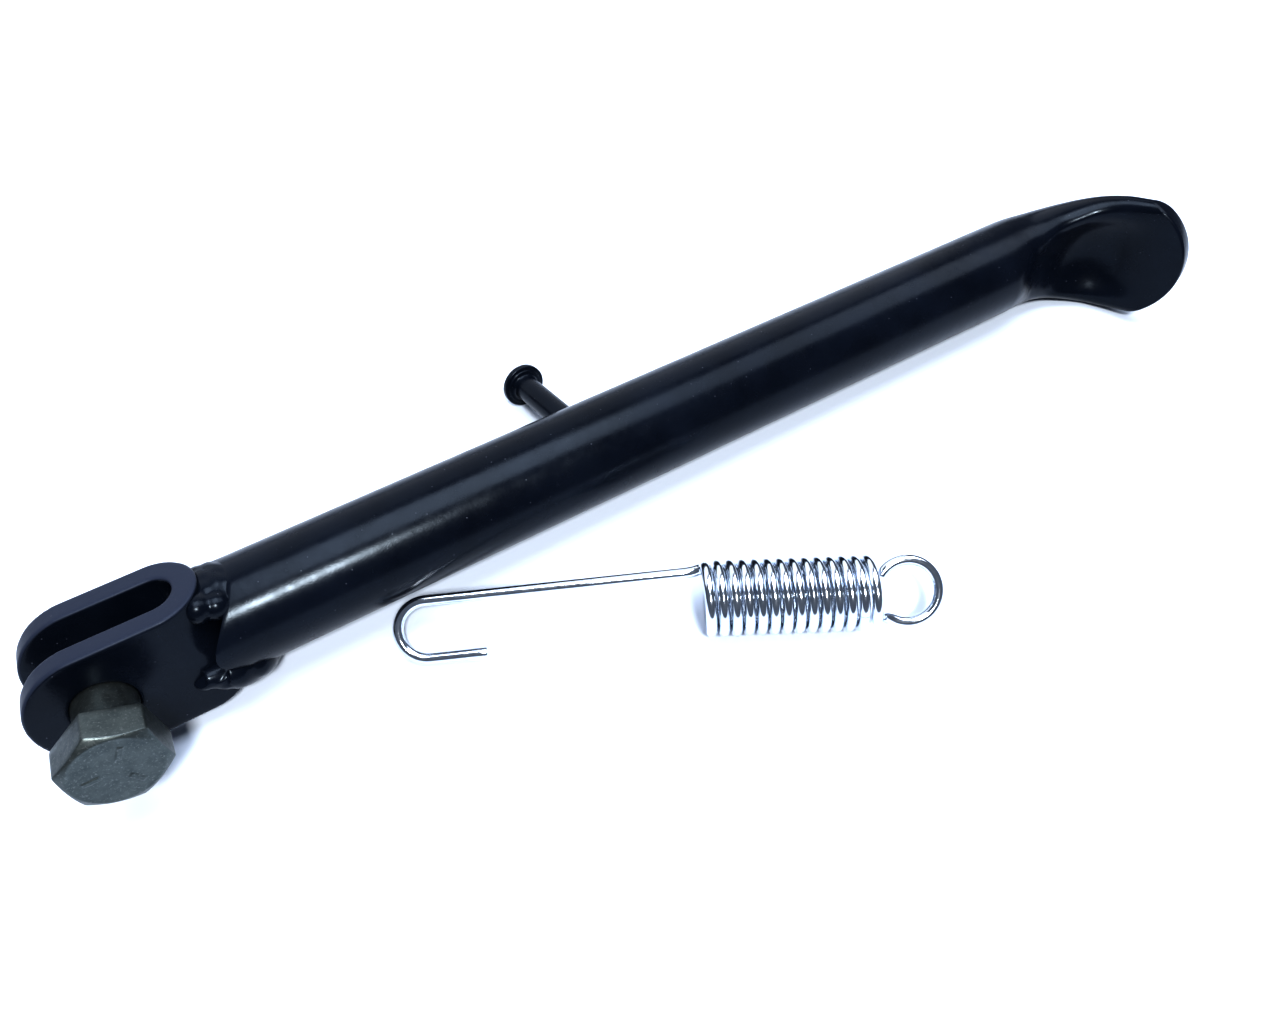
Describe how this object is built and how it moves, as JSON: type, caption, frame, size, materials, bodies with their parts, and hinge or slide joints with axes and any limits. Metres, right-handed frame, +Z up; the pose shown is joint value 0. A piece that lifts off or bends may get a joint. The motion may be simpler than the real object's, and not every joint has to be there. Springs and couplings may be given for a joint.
{
  "type": "kickstand",
  "caption": "Motorcycle side stand: a black steel leg with a forked bracket and a bent, flattened foot, with its pivot bolt and a return spring with an eye and a hook.",
  "frame": {"origin": "on the pivot axis, in the middle of the slot between the two ears of the fork", "axes": "+X runs along the leg from the pivot towards the foot; +Z is up, with the stand lying on a table on its far ear, its spring peg's flange and its foot; the pivot axis is near +Y and leans 14 degrees down"},
  "size_m": [0.2702, 0.1008, 0.0308],
  "materials": {
    "black_paint": "semi-gloss black paint over steel, with a faint bluish sheen and a light orange peel",
    "bolt_steel": "dull olive-grey phosphate and oil on steel, worn bright along its edges",
    "bright_zinc": "bright bluish zinc plate on spring wire"
  },
  "bodies": {
    "pivot_bolt": {"pivot_bolt": "bolt_steel"},
    "leg": {"leg_tube": "black_paint", "fork_bracket": "black_paint", "fork_weld_top": "black_paint", "fork_weld_bottom": "black_paint", "spring_peg": "black_paint", "peg_weld": "black_paint"},
    "spring": {"spring_eye_end": "bright_zinc", "spring_coil": "bright_zinc"},
    "spring_hook": {"spring_hook_end": "bright_zinc"}
  },
  "joints": [
    {"name": "stand_swing", "type": "hinge", "parent": "pivot_bolt", "child": "leg", "pos_m": [0, 0, 0], "axis": [0.0032, -0.9705, 0.2411], "range_deg": [0, 95]},
    {"name": "spring_lift_off", "type": "slide", "parent": "pivot_bolt", "child": "spring_hook", "axis": [0, -0.5736, 0.8192], "range_m": [0, 0.06]},
    {"name": "spring_stretch", "type": "slide", "parent": "spring_hook", "child": "spring", "axis": [0.8788, -0.4772, 0], "range_m": [0, 0.03], "stiffness_N_per_m": 6900, "deforming": ["spring_coil"]}
  ]
}
